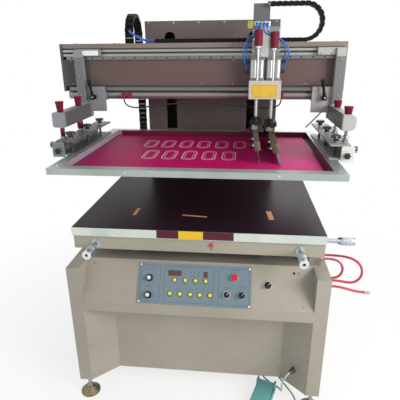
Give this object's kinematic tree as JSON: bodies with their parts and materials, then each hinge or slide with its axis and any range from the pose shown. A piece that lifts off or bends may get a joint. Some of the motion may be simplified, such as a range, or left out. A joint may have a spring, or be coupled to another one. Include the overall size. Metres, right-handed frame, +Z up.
{
  "type": "screen printing machine",
  "caption": "Floor-standing flat-bed screen printer: lifting head with screen clamps, a sliding squeegee carriage and a micrometer-adjusted vacuum table.",
  "frame": {"origin": "on the floor, under the middle of the machine's footprint", "axes": "+X to the operator's right, +Y from the operator to the column, +Z up"},
  "size_m": [1.364, 1.1524, 1.673],
  "materials": {
    "cabinet_paint": "satin beige paint",
    "table_paint": "satin beige paint",
    "panel_plate": "satin blue-grey print",
    "foot_brass": "dull brass",
    "steel": "ground",
    "cast_aluminium": "cast",
    "unit_plastic": "moulded",
    "red_hose": "smooth",
    "pedal_teal": "satin teal paint",
    "grey_cable": "matt",
    "chain_black": "moulded",
    "red_button": "gloss",
    "black_knob": "moulded",
    "table_alloy": "satin edge with a dark glossy top sheet",
    "micrometer": "satin chrome",
    "beam_paint": "satin beige paint",
    "cover_paint": "satin brown-beige paint",
    "alloy": "satin",
    "lift_paint": "matt dark paint",
    "carriage_grey": "satin light paint",
    "blue_tube": "smooth",
    "clamp_black": "matt black",
    "holder_alloy": "anodised",
    "red_knob": "moulded",
    "arm_alloy": "satin",
    "mesh_fabric": "stretched",
    "yellow_key": "moulded"
  },
  "bodies": {
    "base": {"cabinet": "cabinet_paint", "control_plate": "panel_plate", "column": "cabinet_paint", "levelling_feet": "foot_brass", "lift_guides": "steel", "vacuum_blower": "cast_aluminium", "air_unit": "unit_plastic", "air_hoses": "red_hose", "pedal_base": "pedal_teal", "pedal_cable": "grey_cable", "lift_chain": "chain_black"},
    "cross_slide": {"cross_slide": "steel"},
    "table": {"table_frame": "table_paint", "table_top": "table_alloy"},
    "thimble_left": {"thimble_left": "micrometer"},
    "thimble_right": {"thimble_right": "micrometer"},
    "thimble_side": {"thimble_side": "micrometer"},
    "head": {"beam": "beam_paint", "beam_cover": "cover_paint", "drive_cylinder": "alloy", "lift_frame": "lift_paint", "beam_cables": "chain_black", "carriage_chain": "chain_black"},
    "carriage": {"carriage": "carriage_grey", "lift_cylinders": "alloy", "air_tubes": "blue_tube"},
    "squeegee_lift": {"squeegee_lift": "clamp_black"},
    "squeegee": {"squeegee": "holder_alloy"},
    "flood_lift": {"flood_lift": "clamp_black"},
    "flood_blade": {"flood_blade": "holder_alloy"},
    "stroke_knob_left": {"stroke_knob_left": "red_knob"},
    "stroke_knob_right": {"stroke_knob_right": "red_knob"},
    "left_arm": {"left_arm": "arm_alloy"},
    "right_arm": {"right_arm": "arm_alloy"},
    "left_lever": {"left_lever": "black_knob"},
    "right_lever": {"right_lever": "black_knob"},
    "left_clamp": {"left_clamp": "arm_alloy"},
    "right_clamp": {"right_clamp": "arm_alloy"},
    "screen": {"screen_frame": "alloy", "screen_mesh": "mesh_fabric"},
    "stop_button": {"stop_button": "red_button"},
    "speed_knob_upper": {"speed_knob_upper": "black_knob"},
    "speed_knob_lower": {"speed_knob_lower": "black_knob"},
    "selector_mode": {"selector_mode": "black_knob"},
    "selector_vacuum": {"selector_vacuum": "black_knob"},
    "selector_power": {"selector_power": "black_knob"},
    "pedal_plate": {"pedal_plate": "pedal_teal"},
    "key_1": {"key_1": "yellow_key"},
    "key_2": {"key_2": "yellow_key"},
    "key_3": {"key_3": "yellow_key"},
    "key_4": {"key_4": "yellow_key"},
    "key_5": {"key_5": "yellow_key"},
    "key_6": {"key_6": "yellow_key"},
    "key_7": {"key_7": "yellow_key"},
    "key_8": {"key_8": "yellow_key"},
    "key_9": {"key_9": "yellow_key"},
    "height_knob_1": {"height_knob_1": "red_knob"},
    "height_knob_2": {"height_knob_2": "red_knob"},
    "height_knob_3": {"height_knob_3": "red_knob"},
    "height_knob_4": {"height_knob_4": "red_knob"}
  },
  "joints": [
    {"name": "table_y", "type": "slide", "parent": "base", "child": "cross_slide", "axis": [0, 1, 0], "range_m": [-0.01, 0.01]},
    {"name": "table_x", "type": "slide", "parent": "cross_slide", "child": "table", "axis": [1, 0, 0], "range_m": [-0.01, 0.01]},
    {"name": "thimble_left_turn", "type": "hinge", "parent": "table", "child": "thimble_left", "pos_m": [-0.404, -0.54, 0.753], "axis": [0, 1, 0], "range_deg": [-3620, 3620]},
    {"name": "thimble_right_turn", "type": "hinge", "parent": "table", "child": "thimble_right", "pos_m": [0.404, -0.54, 0.753], "axis": [0, 1, 0], "range_deg": [-3620, 3620]},
    {"name": "thimble_side_turn", "type": "hinge", "parent": "table", "child": "thimble_side", "pos_m": [0.58, -0.37, 0.758], "axis": [1, 0, 0], "range_deg": [-3620, 3620]},
    {"name": "head_lift", "type": "slide", "parent": "base", "child": "head", "axis": [0, 0, 1], "range_m": [-0.222, 0], "deforming": ["lift_chain"]},
    {"name": "carriage_travel", "type": "slide", "parent": "head", "child": "carriage", "axis": [1, 0, 0], "range_m": [-0.5, 0], "deforming": ["carriage_chain"]},
    {"name": "squeegee_lift_travel", "type": "slide", "parent": "carriage", "child": "squeegee_lift", "axis": [0, 0, 1], "range_m": [-0.0035, 0.015]},
    {"name": "flood_lift_travel", "type": "slide", "parent": "carriage", "child": "flood_lift", "axis": [0, 0, 1], "range_m": [-0.004, 0.015]},
    {"name": "squeegee_tilt", "type": "hinge", "parent": "squeegee_lift", "child": "squeegee", "pos_m": [0.286, -0.08, 1.158], "axis": [0, -1, 0], "range_deg": [-8, 12]},
    {"name": "flood_tilt", "type": "hinge", "parent": "flood_lift", "child": "flood_blade", "pos_m": [0.221, -0.08, 1.167], "axis": [0, -1, 0], "range_deg": [-8, 12]},
    {"name": "stroke_left_turn", "type": "hinge", "parent": "flood_lift", "child": "stroke_knob_left", "pos_m": [0.225, -0.088, 1.52], "axis": [0, 0, 1], "continuous": true},
    {"name": "stroke_right_turn", "type": "hinge", "parent": "squeegee_lift", "child": "stroke_knob_right", "pos_m": [0.29, -0.088, 1.51], "axis": [0, 0, 1], "continuous": true},
    {"name": "left_arm_travel", "type": "slide", "parent": "head", "child": "left_arm", "axis": [-1, 0, 0], "range_m": [0, 0.04]},
    {"name": "right_arm_travel", "type": "slide", "parent": "head", "child": "right_arm", "axis": [1, 0, 0], "range_m": [0, 0.02]},
    {"name": "left_lever_turn", "type": "hinge", "parent": "left_arm", "child": "left_lever", "pos_m": [-0.52, -0.03, 1.28], "axis": [0, 1, 0], "range_deg": [-8, 60]},
    {"name": "right_lever_turn", "type": "hinge", "parent": "right_arm", "child": "right_lever", "pos_m": [0.52, -0.03, 1.28], "axis": [0, -1, 0], "range_deg": [-20, 60]},
    {"name": "screen_height_left", "type": "slide", "parent": "left_arm", "child": "left_clamp", "axis": [0, 0, 1], "range_m": [-0.01, 0.0035]},
    {"name": "screen_height_right", "type": "slide", "parent": "right_arm", "child": "right_clamp", "axis": [0, 0, 1], "range_m": [-0.01, 0.0035]},
    {"name": "screen_pull", "type": "slide", "parent": "left_clamp", "child": "screen", "axis": [0, -1, 0], "range_m": [0, 0.02]},
    {"name": "height_knob_1_turn", "type": "hinge", "parent": "left_arm", "child": "height_knob_1", "pos_m": [-0.563, -0.3, 1.27], "axis": [0, 0, 1], "range_deg": [-730, 2070]},
    {"name": "height_knob_2_turn", "type": "hinge", "parent": "left_arm", "child": "height_knob_2", "pos_m": [-0.563, -0.11, 1.27], "axis": [0, 0, 1], "range_deg": [-730, 2070]},
    {"name": "height_knob_3_turn", "type": "hinge", "parent": "right_arm", "child": "height_knob_3", "pos_m": [0.563, -0.3, 1.27], "axis": [0, 0, 1], "range_deg": [-730, 2070]},
    {"name": "height_knob_4_turn", "type": "hinge", "parent": "right_arm", "child": "height_knob_4", "pos_m": [0.563, -0.11, 1.27], "axis": [0, 0, 1], "range_deg": [-730, 2070]},
    {"name": "key_1_press", "type": "slide", "parent": "base", "child": "key_1", "axis": [0, 0.8303, -0.5573], "range_m": [0, 0.0015], "stiffness_N_per_m": 400, "springref_m": -0.001},
    {"name": "key_2_press", "type": "slide", "parent": "base", "child": "key_2", "axis": [0, 0.8303, -0.5573], "range_m": [0, 0.0015], "stiffness_N_per_m": 400, "springref_m": -0.001},
    {"name": "key_3_press", "type": "slide", "parent": "base", "child": "key_3", "axis": [0, 0.8303, -0.5573], "range_m": [0, 0.0015], "stiffness_N_per_m": 400, "springref_m": -0.001},
    {"name": "key_4_press", "type": "slide", "parent": "base", "child": "key_4", "axis": [0, 0.8303, -0.5573], "range_m": [0, 0.0015], "stiffness_N_per_m": 400, "springref_m": -0.001},
    {"name": "key_5_press", "type": "slide", "parent": "base", "child": "key_5", "axis": [0, 0.8303, -0.5573], "range_m": [0, 0.0015], "stiffness_N_per_m": 400, "springref_m": -0.001},
    {"name": "key_6_press", "type": "slide", "parent": "base", "child": "key_6", "axis": [0, 0.8303, -0.5573], "range_m": [0, 0.0015], "stiffness_N_per_m": 400, "springref_m": -0.001},
    {"name": "key_7_press", "type": "slide", "parent": "base", "child": "key_7", "axis": [0, 0.8303, -0.5573], "range_m": [0, 0.0015], "stiffness_N_per_m": 400, "springref_m": -0.001},
    {"name": "key_8_press", "type": "slide", "parent": "base", "child": "key_8", "axis": [0, 0.8303, -0.5573], "range_m": [0, 0.0015], "stiffness_N_per_m": 400, "springref_m": -0.001},
    {"name": "key_9_press", "type": "slide", "parent": "base", "child": "key_9", "axis": [0, 0.8303, -0.5573], "range_m": [0, 0.0015], "stiffness_N_per_m": 400, "springref_m": -0.001},
    {"name": "stop_press", "type": "slide", "parent": "base", "child": "stop_button", "axis": [0, 0.8303, -0.5573], "range_m": [0, 0.003], "stiffness_N_per_m": 800, "springref_m": -0.002},
    {"name": "speed_upper_turn", "type": "hinge", "parent": "base", "child": "speed_knob_upper", "pos_m": [-0.193, -0.45693, 0.59902], "axis": [0, -0.8303, 0.5573], "range_deg": [-150, 150]},
    {"name": "speed_lower_turn", "type": "hinge", "parent": "base", "child": "speed_knob_lower", "pos_m": [-0.194, -0.49538, 0.54172], "axis": [0, -0.8303, 0.5573], "range_deg": [-150, 150]},
    {"name": "mode_turn", "type": "hinge", "parent": "base", "child": "selector_mode", "pos_m": [0.125, -0.48702, 0.55418], "axis": [0, -0.8303, 0.5573], "range_deg": [-90, 0]},
    {"name": "vacuum_turn", "type": "hinge", "parent": "base", "child": "selector_vacuum", "pos_m": [0.186, -0.48646, 0.55501], "axis": [0, -0.8303, 0.5573], "range_deg": [-90, 0]},
    {"name": "power_turn", "type": "hinge", "parent": "base", "child": "selector_power", "pos_m": [0.288, -0.46139, 0.59237], "axis": [0, -0.8303, 0.5573], "range_deg": [-90, 0]},
    {"name": "pedal_press", "type": "hinge", "parent": "base", "child": "pedal_plate", "pos_m": [0.31056, -0.40072, 0.042], "axis": [0.9511, -0.309, 0], "range_deg": [0, 5], "stiffness_Nm_per_rad": 3, "springref_deg": -22.92}
  ],
  "couplings": [
    {"joint": "thimble_left_turn", "follows": "table_y", "rad_per_m": 6283.2},
    {"joint": "thimble_right_turn", "follows": "table_y", "rad_per_m": 6283.2},
    {"joint": "thimble_side_turn", "follows": "table_x", "rad_per_m": 6283.2},
    {"joint": "screen_height_right", "follows": "screen_height_left", "ratio": 1},
    {"joint": "height_knob_1_turn", "follows": "screen_height_left", "rad_per_m": -3590.4},
    {"joint": "height_knob_2_turn", "follows": "screen_height_left", "rad_per_m": -3590.4},
    {"joint": "height_knob_3_turn", "follows": "screen_height_left", "rad_per_m": -3590.4},
    {"joint": "height_knob_4_turn", "follows": "screen_height_left", "rad_per_m": -3590.4}
  ]
}
